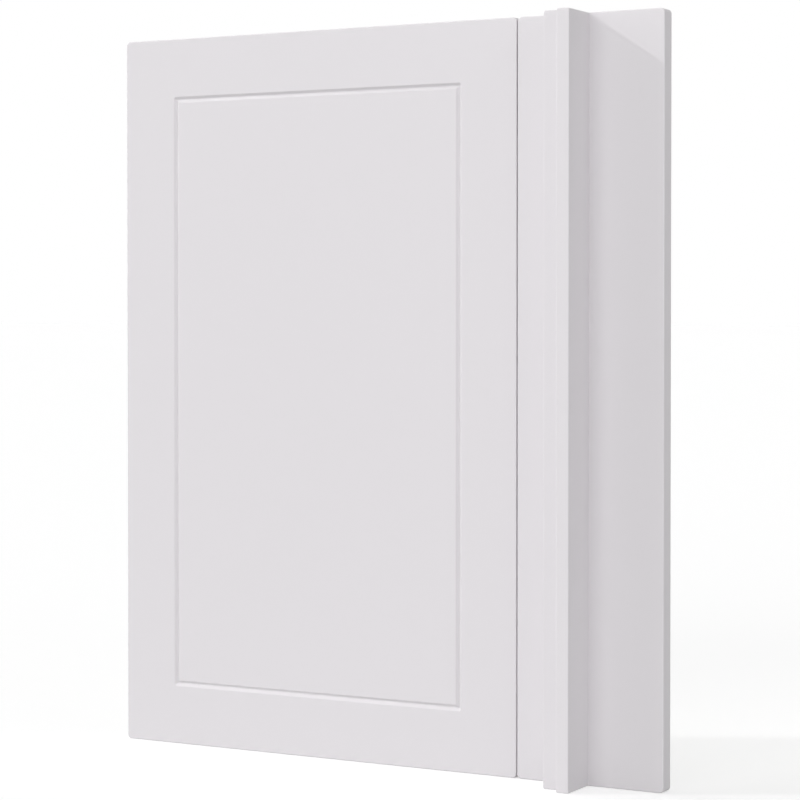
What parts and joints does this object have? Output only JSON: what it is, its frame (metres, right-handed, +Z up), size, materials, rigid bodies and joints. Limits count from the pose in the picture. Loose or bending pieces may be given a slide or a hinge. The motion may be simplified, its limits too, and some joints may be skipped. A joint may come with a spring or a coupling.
{
  "type": "blind-corner cabinet front",
  "caption": "White kitchen cabinet door with a routed groove rectangle, beside a fixed blind panel that carries a stepped full-height corner post.",
  "frame": {"origin": "middle of the set's back plane, on the door leaf's back face, half way up", "axes": "+X along the front from the door leaf to the fixed panel, -Y out of the front towards the room, +Z up"},
  "size_m": [0.597, 0.0598, 0.716],
  "materials": {
    "white_front": "matt white film on fibreboard",
    "white_strip": "matt white film on fibreboard",
    "screw_zinc": "bright zinc plating"
  },
  "bodies": {
    "root": {"door_leaf": "white_front", "fixed_panel": "white_front", "backing_strip": "white_strip", "corner_strip": "white_strip", "backing_screw_1": "screw_zinc", "backing_screw_2": "screw_zinc", "backing_screw_3": "screw_zinc", "corner_screw_1": "screw_zinc", "corner_screw_2": "screw_zinc", "corner_screw_3": "screw_zinc"}
  },
  "joints": []
}
